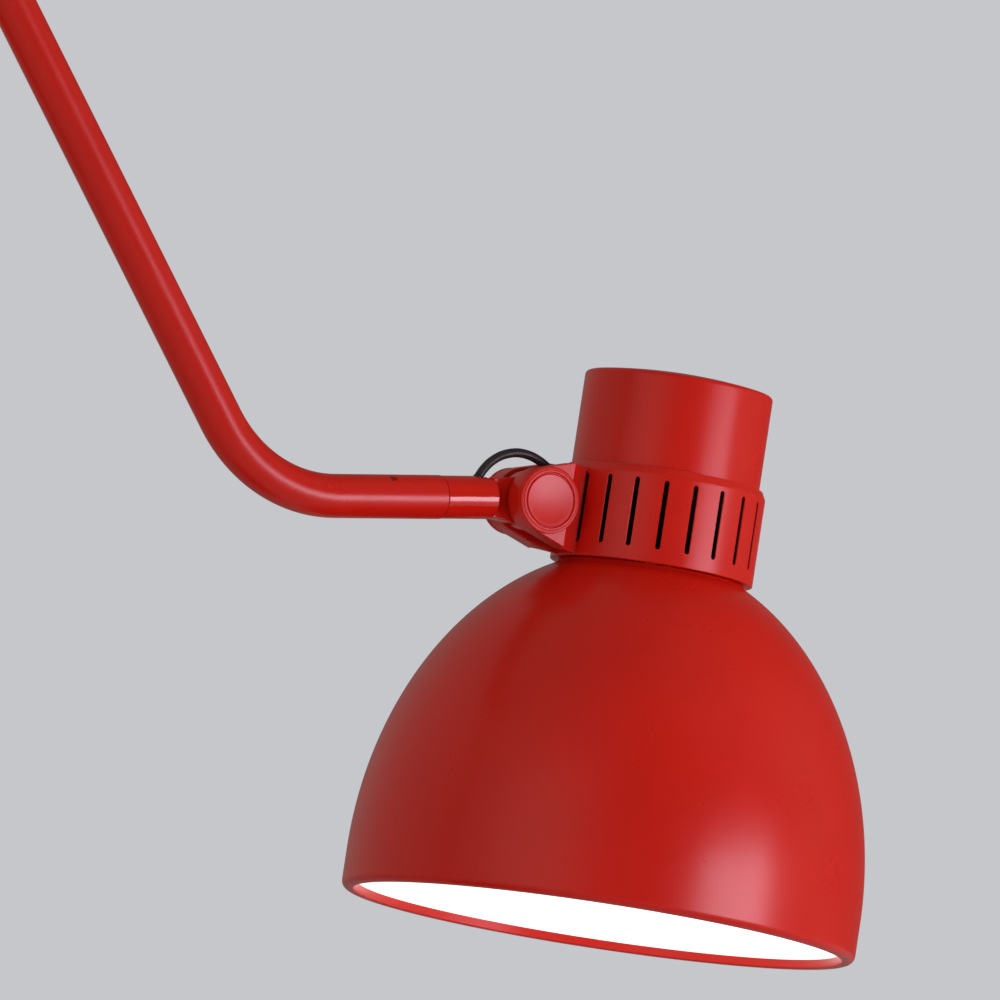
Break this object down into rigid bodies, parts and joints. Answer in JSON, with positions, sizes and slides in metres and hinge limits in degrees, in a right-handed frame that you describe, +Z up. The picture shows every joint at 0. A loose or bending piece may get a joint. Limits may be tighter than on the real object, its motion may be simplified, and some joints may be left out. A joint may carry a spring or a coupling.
{
  "type": "architect desk lamp",
  "caption": "Desk lamp with a weighted round base, swivelling post, bent tube arm, and a tilting domed head with a slotted collar.",
  "frame": {"origin": "centre of the flat underside of the base pad, which rests on the desk", "axes": "+Z up; +X from the post towards the head at rest; +Y completes a right-handed frame, so the bent arm lies on the -Y side of the post"},
  "size_m": [0.5301, 0.2627, 0.7204],
  "materials": {
    "red_paint": "satin",
    "red_paint_aluminium": "satin",
    "white_paint": "satin",
    "opal": "satin",
    "black_plastic": "satin",
    "black_rubber": "matte",
    "cable": "satin",
    "steel": "satin",
    "bare_aluminium": "satin",
    "cast_iron": "matte"
  },
  "bodies": {
    "base": {"base_pad": "black_rubber", "base_weight": "cast_iron", "base_cover": "red_paint", "cable_gland": "black_rubber", "cable_base": "cable", "post_socket": "red_paint", "socket_screw_1": "steel", "socket_screw_2": "steel", "socket_screw_3": "steel", "socket_screw_4": "steel", "swivel_screw": "steel", "post_bush": "black_plastic", "switch_bezel": "bare_aluminium", "switch_body": "black_plastic", "switch_spring": "steel"},
    "button": {"switch_button": "black_plastic"},
    "post": {"post_spigot": "steel", "post_tube": "red_paint", "post_knuckle": "red_paint_aluminium", "post_knuckle_cap": "red_paint_aluminium", "elbow_friction_ring": "black_plastic", "cable_post": "cable"},
    "arm": {"arm_knuckle": "red_paint_aluminium", "arm_knuckle_cap": "red_paint_aluminium", "elbow_bolt": "steel", "elbow_nut": "steel", "elbow_spring_washer": "steel", "arm_tube": "red_paint", "wrist_bush_1": "black_plastic", "wrist_bush_2": "black_plastic", "wrist_screw": "steel", "cable_arm": "cable"},
    "wrist": {"wrist_spigot": "steel", "wrist_fitting": "red_paint_aluminium", "pivot_bush": "black_plastic", "pivot_washer_near": "steel", "pivot_washer_far": "steel", "cable_wrist": "cable", "cable_loop": "cable"},
    "head": {"head_collar": "red_paint_aluminium", "pivot_bolt": "steel", "pivot_nut": "steel", "pivot_cap_near": "red_paint_aluminium", "pivot_cap_far": "red_paint_aluminium", "rear_cap": "red_paint_aluminium", "heat_sink": "bare_aluminium", "led_driver": "black_plastic", "led_board": "white_paint", "shade": "red_paint_aluminium", "reflector": "white_paint", "diffuser_ring": "white_paint", "diffuser": "opal", "head_screw_1": "steel", "head_screw_2": "steel", "head_screw_3": "steel", "cable_head": "cable"}
  },
  "joints": [
    {"name": "base_swivel", "type": "hinge", "parent": "base", "child": "post", "pos_m": [-0.05, 0, 0.04], "axis": [0, 0, 1], "range_deg": [-150, 150]},
    {"name": "elbow_tilt", "type": "hinge", "parent": "post", "child": "arm", "pos_m": [-0.05, -0.024, 0.70521], "axis": [0, -1, 0], "range_deg": [-20, 60]},
    {"name": "wrist_swivel", "type": "hinge", "parent": "arm", "child": "wrist", "pos_m": [0.25, -0.024, 0.4312], "axis": [1, 0, 0], "range_deg": [-90, 90]},
    {"name": "head_tilt", "type": "hinge", "parent": "wrist", "child": "head", "pos_m": [0.25, -0.024, 0.43], "axis": [0, -1, 0], "range_deg": [-50, 70], "deforming": ["cable_loop"]},
    {"name": "switch_press", "type": "slide", "parent": "base", "child": "button", "axis": [0, 0, -1], "range_m": [0, 0.0025], "stiffness_N_per_m": 400, "springref_m": -0.0025, "deforming": ["switch_spring"]}
  ]
}
